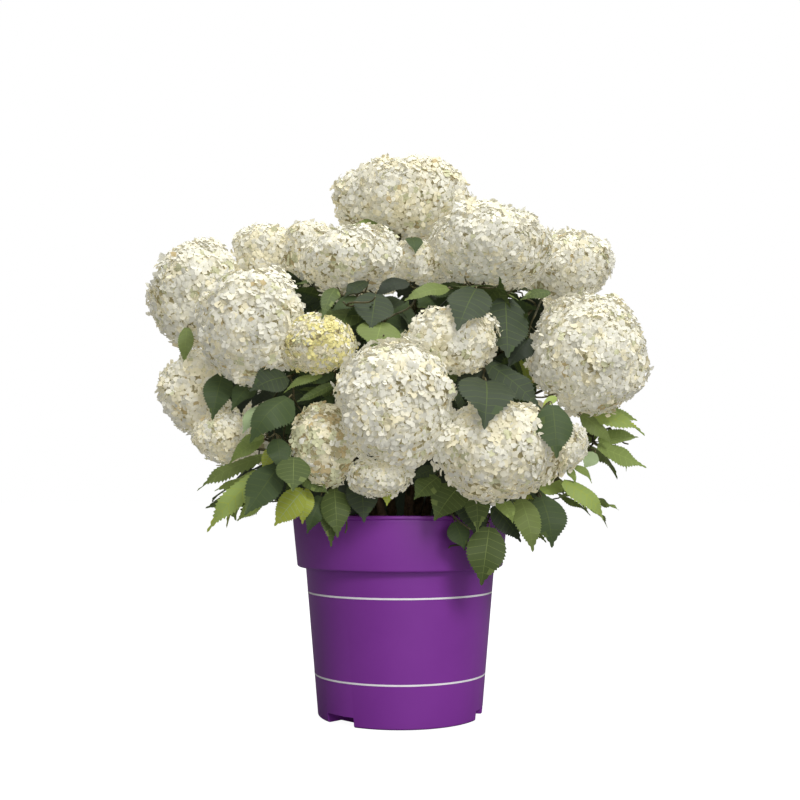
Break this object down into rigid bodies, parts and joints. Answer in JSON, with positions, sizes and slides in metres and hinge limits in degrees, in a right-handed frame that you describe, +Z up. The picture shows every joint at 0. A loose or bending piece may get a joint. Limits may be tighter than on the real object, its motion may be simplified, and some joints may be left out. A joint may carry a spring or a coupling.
{
  "type": "hydrangea shrub",
  "caption": "Flowering hydrangea shrub with rounded white flower heads over dark serrated leaves, in a tapered purple plastic nursery pot with a rim band and thin white stripes.",
  "frame": {"origin": "centre of the pot's flat underside, on the pot's axis", "axes": "+Z up the pot's axis, -Y towards the front of the plant, +X to its right as seen from the front"},
  "size_m": [0.6458, 0.5287, 0.7273],
  "materials": {
    "pot_plastic": "satin",
    "potting_mix": "matte",
    "bark": "matte",
    "leaf": "satin",
    "petals_white": "matte",
    "petals_cream": "matte",
    "petals_lime": "matte"
  },
  "bodies": {
    "root": {"flower_head_far_left": "petals_white", "flower_head_front": "petals_white", "flower_head_left": "petals_white", "flower_head_left_rear": "petals_cream", "flower_head_low_left": "petals_cream", "flower_head_low_left_rear": "petals_cream", "flower_head_low_middle": "petals_white", "flower_head_low_rear": "petals_cream", "flower_head_low_rear_left": "petals_white", "flower_head_low_rear_right": "petals_white", "flower_head_low_right": "petals_cream", "flower_head_low_right_rear": "petals_cream", "flower_head_low_right_small": "petals_white", "flower_head_low_side_left": "petals_cream", "flower_head_middle_right": "petals_cream", "flower_head_rear": "petals_white", "flower_head_rear_left": "petals_white", "flower_head_rear_right": "petals_cream", "flower_head_right": "petals_white", "flower_head_right_rear": "petals_white", "flower_head_side_left": "petals_cream", "flower_head_top": "petals_cream", "flower_head_upper_far_right": "petals_white", "flower_head_upper_inner": "petals_cream", "flower_head_upper_left_a": "petals_cream", "flower_head_upper_left_b": "petals_cream", "flower_head_upper_middle": "petals_white", "flower_head_upper_rear_left": "petals_cream", "flower_head_upper_rear_right": "petals_white", "flower_head_upper_right": "petals_white", "flower_head_young": "petals_lime", "leaves_heart": "leaf", "leaves_lower_1": "leaf", "leaves_lower_2": "leaf", "leaves_lower_3": "leaf", "leaves_lower_4": "leaf", "leaves_lower_5": "leaf", "leaves_over_rim_left": "leaf", "leaves_over_rim_right": "leaf", "leaves_spray_front_right": "leaf", "leaves_spray_left": "leaf", "leaves_spray_rear": "leaf", "leaves_spray_rear_left": "leaf", "leaves_spray_rear_right": "leaf", "leaves_spray_right": "leaf", "leaves_spray_right_low": "leaf", "leaves_upper_1": "leaf", "leaves_upper_2": "leaf", "leaves_upper_3": "leaf", "leaves_upper_4": "leaf", "leaves_upper_5": "leaf", "pot": "pot_plastic", "potting_mix": "potting_mix", "stem_1": "bark", "stem_2": "bark", "stem_3": "bark", "stem_4": "bark", "stem_5": "bark", "stem_6": "bark"}
  },
  "joints": []
}
